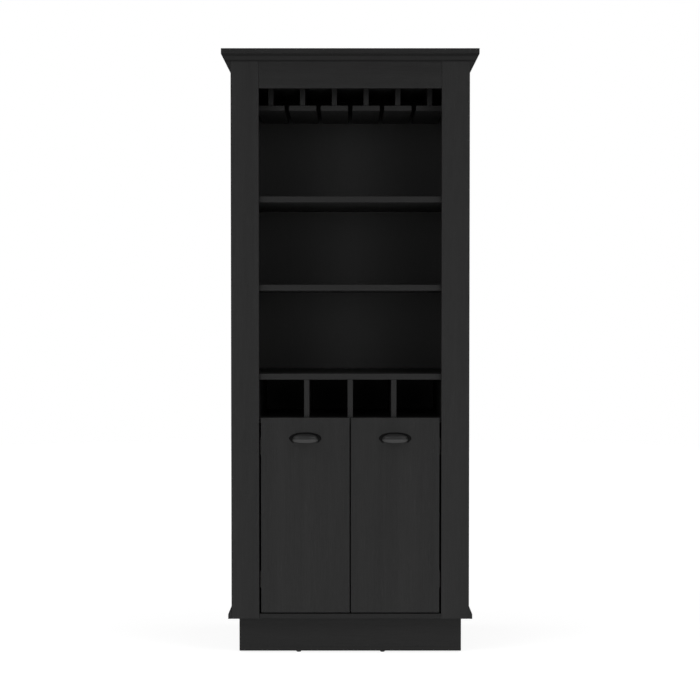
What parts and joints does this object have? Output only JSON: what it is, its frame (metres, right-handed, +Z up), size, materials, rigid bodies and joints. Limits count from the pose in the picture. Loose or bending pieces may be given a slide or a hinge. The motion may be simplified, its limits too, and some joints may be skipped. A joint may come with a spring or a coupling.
{
  "type": "bar cabinet",
  "caption": "Tall narrow bar cabinet with a stemware rack, open shelves, bottle cubbies and a two-door cupboard on a recessed plinth.",
  "frame": {"origin": "on the floor under the middle of the bounding box", "axes": "+Z up, -Y towards the front with the doors, +X towards the right as seen from the front"},
  "size_m": [0.764, 0.4694, 1.8],
  "materials": {
    "front_board": "black woodgrain melamine with a low sheen",
    "board": "black melamine",
    "hardboard": "matt black printed hardboard",
    "pull_metal": "satin black",
    "plated_steel": "black nickel-plated steel",
    "glide_plastic": "black plastic"
  },
  "bodies": {
    "cabinet": {"crown_board": "front_board", "crown_front": "front_board", "crown_left": "front_board", "crown_right": "front_board", "left_side_panel": "front_board", "right_side_panel": "front_board", "left_stile": "front_board", "right_stile": "front_board", "frieze": "front_board", "bottom_panel": "front_board", "plinth_front": "front_board", "plinth_back": "front_board", "plinth_left": "front_board", "plinth_right": "front_board", "skirt_left": "front_board", "skirt_right": "front_board", "rack_panel": "board", "rail_web_1": "board", "rail_web_2": "board", "rail_web_3": "board", "rail_web_4": "board", "rail_web_5": "board", "rail_web_6": "board", "rail_flange_1": "board", "rail_flange_2": "board", "rail_flange_3": "board", "rail_flange_4": "board", "rail_flange_5": "board", "rail_flange_6": "board", "upper_shelf": "board", "middle_shelf": "board", "cubby_top_shelf": "board", "cubby_floor": "board", "inner_shelf": "board", "left_partition": "board", "right_partition": "board", "left_divider": "board", "centre_divider": "board", "right_divider": "board", "back_panel": "hardboard", "front_left_glide": "glide_plastic", "front_right_glide": "glide_plastic", "back_left_glide": "glide_plastic", "back_right_glide": "glide_plastic", "left_lower_hinge_arm": "plated_steel", "left_upper_hinge_arm": "plated_steel", "right_lower_hinge_arm": "plated_steel", "right_upper_hinge_arm": "plated_steel"},
    "left_door": {"left_door": "front_board", "left_cup_pull": "pull_metal", "left_pull_screw_1": "plated_steel", "left_pull_screw_2": "plated_steel", "left_lower_hinge_cup": "plated_steel", "left_upper_hinge_cup": "plated_steel"},
    "right_door": {"right_door": "front_board", "right_cup_pull": "pull_metal", "right_pull_screw_1": "plated_steel", "right_pull_screw_2": "plated_steel", "right_lower_hinge_cup": "plated_steel", "right_upper_hinge_cup": "plated_steel"}
  },
  "joints": [
    {"name": "left_door_hinge", "type": "hinge", "parent": "cabinet", "child": "left_door", "pos_m": [-0.2658, -0.21235, 0.41515], "axis": [0, 0, -1], "range_deg": [0, 105]},
    {"name": "right_door_hinge", "type": "hinge", "parent": "cabinet", "child": "right_door", "pos_m": [0.2658, -0.21235, 0.41515], "axis": [0, 0, 1], "range_deg": [0, 105]}
  ]
}
